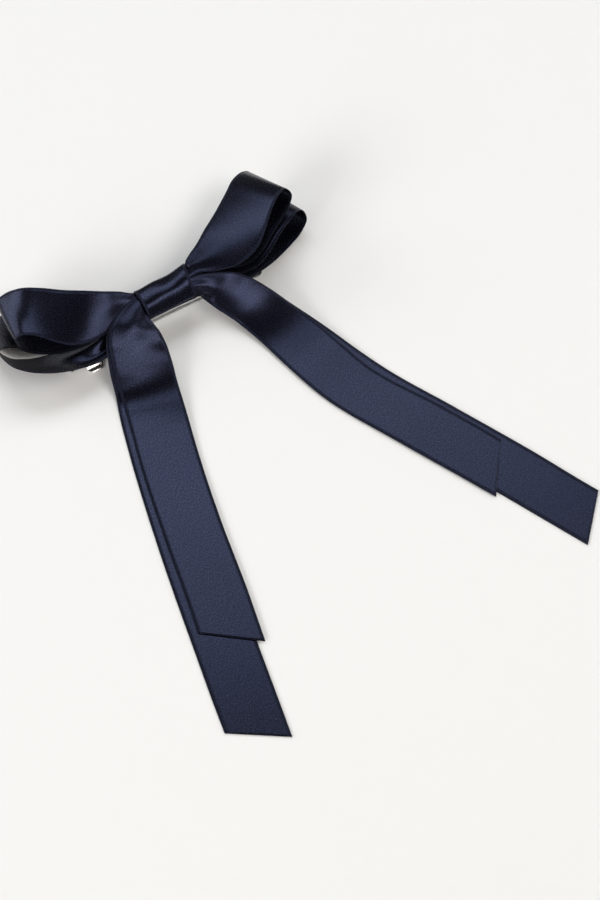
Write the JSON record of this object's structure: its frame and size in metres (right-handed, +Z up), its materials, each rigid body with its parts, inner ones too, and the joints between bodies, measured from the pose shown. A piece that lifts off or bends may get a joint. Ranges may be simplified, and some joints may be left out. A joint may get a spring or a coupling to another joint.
{
  "type": "hair bow",
  "caption": "Double satin bow with long trailing tails, wrapped at the knot and fixed on an arched metal barrette with a squeeze-release clasp.",
  "frame": {"origin": "middle of the gap that grips the hair, under the centre of the barrette's plate and 9 mm above the table", "axes": "+X along the barrette from clasp to hinge, +Y away from the tails, +Z up out of the plate through the knot"},
  "size_m": [0.1868, 0.2333, 0.0269],
  "materials": {
    "satin_ribbon": "polyester satin weave, soft sheen, woven selvedge",
    "thread": "matte sewing thread",
    "silver_plate": "bright nickel plate",
    "spring_steel": "nickel plated spring steel"
  },
  "bodies": {
    "bow": {"top_plate": "silver_plate", "hinge_bracket": "silver_plate", "hinge_rivet": "silver_plate", "hinge_pin": "silver_plate", "latch_base": "spring_steel", "latch_rivet": "silver_plate", "lower_tail_left": "satin_ribbon", "lower_tail_right": "satin_ribbon", "upper_tail_left": "satin_ribbon", "upper_tail_right": "satin_ribbon", "lower_loop_left": "satin_ribbon", "lower_loop_right": "satin_ribbon", "upper_loop_left": "satin_ribbon", "upper_loop_right": "satin_ribbon", "knot_wrap": "satin_ribbon", "gathering_thread": "thread"},
    "arm": {"clamp_arm": "silver_plate"},
    "bar": {"tension_bar": "spring_steel"},
    "front_leg": {"squeeze_leg_front": "spring_steel"},
    "rear_leg": {"squeeze_leg_rear": "spring_steel"}
  },
  "joints": [
    {"name": "arm_hinge", "type": "hinge", "parent": "bow", "child": "arm", "pos_m": [0.036, 0, -0.0065], "axis": [0, -1, 0], "range_deg": [0, 75]},
    {"name": "bar_hinge", "type": "hinge", "parent": "bow", "child": "bar", "pos_m": [0.036, 0, -0.0065], "axis": [0, -1, 0], "range_deg": [0, 30]},
    {"name": "front_leg_squeeze", "type": "hinge", "parent": "bow", "child": "front_leg", "pos_m": [-0.028, -0.0032, -0.002], "axis": [0, 0, -1], "range_deg": [0, 4], "stiffness_Nm_per_rad": 0.02},
    {"name": "rear_leg_squeeze", "type": "hinge", "parent": "bow", "child": "rear_leg", "pos_m": [-0.028, 0.0032, -0.002], "axis": [0, 0, 1], "range_deg": [0, 4], "stiffness_Nm_per_rad": 0.02}
  ],
  "couplings": [
    {"joint": "bar_hinge", "follows": "arm_hinge", "ratio": 0.35}
  ]
}
